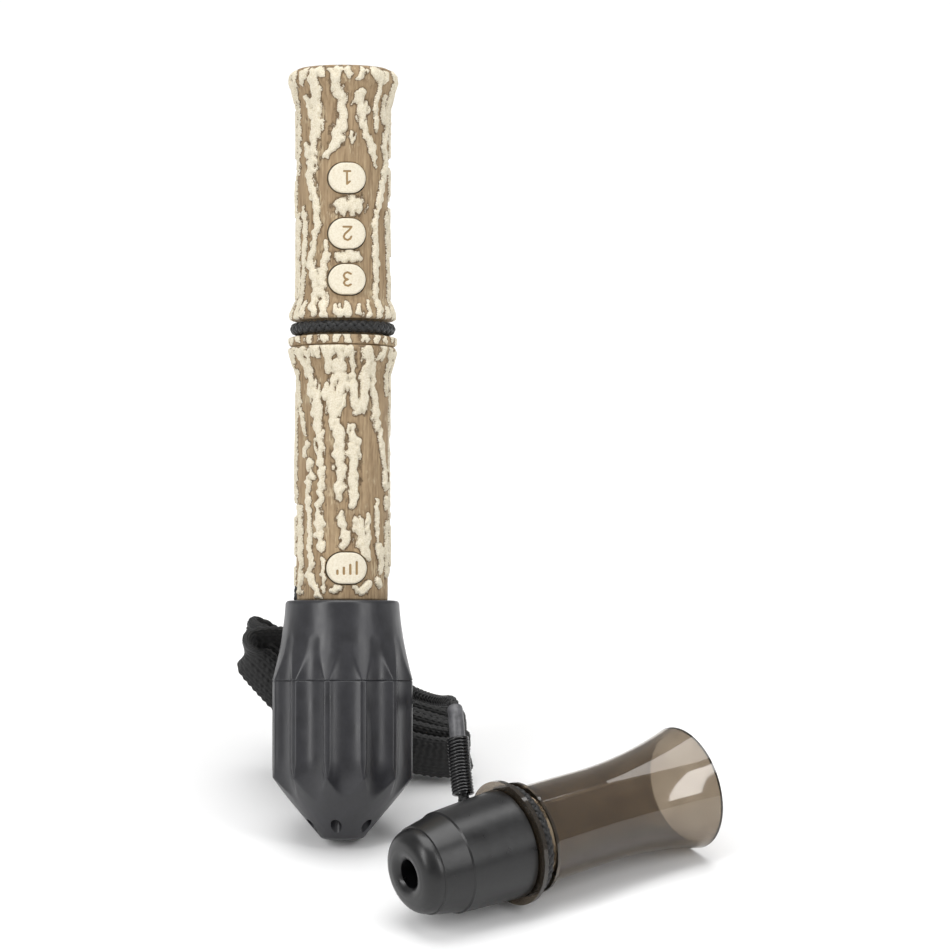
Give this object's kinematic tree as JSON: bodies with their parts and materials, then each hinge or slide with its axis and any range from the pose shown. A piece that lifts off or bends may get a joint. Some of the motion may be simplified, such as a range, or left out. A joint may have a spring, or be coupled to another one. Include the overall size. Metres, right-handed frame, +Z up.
{
  "type": "game call",
  "caption": "Lanyard set of a long bark-textured reed call with tone pads and a fluted bulb, and a small call with a rubber mouthpiece and smoked bell.",
  "frame": {"origin": "on the floor, under the middle of the box round the two calls without the lanyard", "axes": "+Z up; the long call stands on its bulb's tip and leans back towards +Y, pads facing -Y"},
  "size_m": [0.1302, 0.154, 0.1937],
  "materials": {
    "bark_rubber": "matt, moulded bark relief with cream dry-brushed ridges",
    "pad_rubber": "matt",
    "bulb_plastic": "satin",
    "inner_plastic": "moulded",
    "reed_film": "clear polyester film",
    "seal_rubber": "matt",
    "mouthpiece_rubber": "satin",
    "smoked_plastic": "clear smoked, glossy",
    "braided_cord": "round braid",
    "knitted_strap": "knitted tube, pressed flat",
    "clear_sleeve": "cloudy clear",
    "coil_plastic": "glossy close coil"
  },
  "bodies": {
    "main_call": {"lower_barrel": "bark_rubber", "upper_barrel": "bark_rubber", "barrel_coupler": "inner_plastic", "reed_board": "inner_plastic", "reed_wedge": "seal_rubber", "reed_board_rings": "seal_rubber", "bulb_seal_ring": "seal_rubber", "barrel_cord_loop": "braided_cord", "barrel_knot": "braided_cord", "barrel_cord": "braided_cord", "neck_strap": "knitted_strap", "call_cord": "braided_cord", "clear_sleeve": "clear_sleeve", "coil_sleeve": "coil_plastic", "call_cord_loop": "braided_cord"},
    "tone_pad_1": {"tone_pad_1": "pad_rubber"},
    "tone_pad_2": {"tone_pad_2": "pad_rubber"},
    "tone_pad_3": {"tone_pad_3": "pad_rubber"},
    "volume_pad": {"volume_pad": "pad_rubber"},
    "bulb": {"bulb_upper_shell": "bulb_plastic", "bulb_lower_shell": "bulb_plastic"},
    "reed": {"reed": "reed_film"},
    "small_call": {"call_bell_barrel": "smoked_plastic"},
    "small_mouth": {"call_mouthpiece": "mouthpiece_rubber", "call_insert": "inner_plastic", "call_seal_ring": "seal_rubber", "call_reed_board": "inner_plastic", "call_reed_wedge": "seal_rubber"},
    "small_reed": {"call_reed": "reed_film"}
  },
  "joints": [
    {"name": "tone_pad_1_press", "type": "slide", "parent": "main_call", "child": "tone_pad_1", "axis": [-0.1219, 0.9067, -0.4037], "range_m": [0, 0.0018], "stiffness_N_per_m": 500},
    {"name": "tone_pad_2_press", "type": "slide", "parent": "main_call", "child": "tone_pad_2", "axis": [-0.1219, 0.9067, -0.4037], "range_m": [0, 0.0018], "stiffness_N_per_m": 500},
    {"name": "tone_pad_3_press", "type": "slide", "parent": "main_call", "child": "tone_pad_3", "axis": [-0.1219, 0.9067, -0.4037], "range_m": [0, 0.0018], "stiffness_N_per_m": 500},
    {"name": "volume_pad_press", "type": "slide", "parent": "main_call", "child": "volume_pad", "axis": [-0.1219, 0.9067, -0.4037], "range_m": [0, 0.0018], "stiffness_N_per_m": 500},
    {"name": "bulb_turn", "type": "hinge", "parent": "main_call", "child": "bulb", "pos_m": [-0.04055, 0.00166, 0.04718], "axis": [0, 0.4067, 0.9135], "continuous": true},
    {"name": "reed_lift", "type": "hinge", "parent": "main_call", "child": "reed", "pos_m": [-0.04031, 0.03726, 0.13204], "axis": [0.9925, 0.1113, -0.0496], "range_deg": [0, 1.5], "stiffness_Nm_per_rad": 0.05},
    {"name": "small_call_spin", "type": "hinge", "parent": "main_call", "child": "small_call", "pos_m": [0.00544, -0.04921, 0.0164], "axis": [0.8111, 0.585, 0], "continuous": true},
    {"name": "mouthpiece_pull", "type": "slide", "parent": "small_call", "child": "small_mouth", "axis": [-0.8111, -0.585, 0], "range_m": [0, 0.008]},
    {"name": "small_reed_lift", "type": "hinge", "parent": "small_mouth", "child": "small_reed", "pos_m": [0.00145, -0.05393, 0.0164], "axis": [0, 0, 1], "range_deg": [0, 1.5], "stiffness_Nm_per_rad": 0.05}
  ]
}
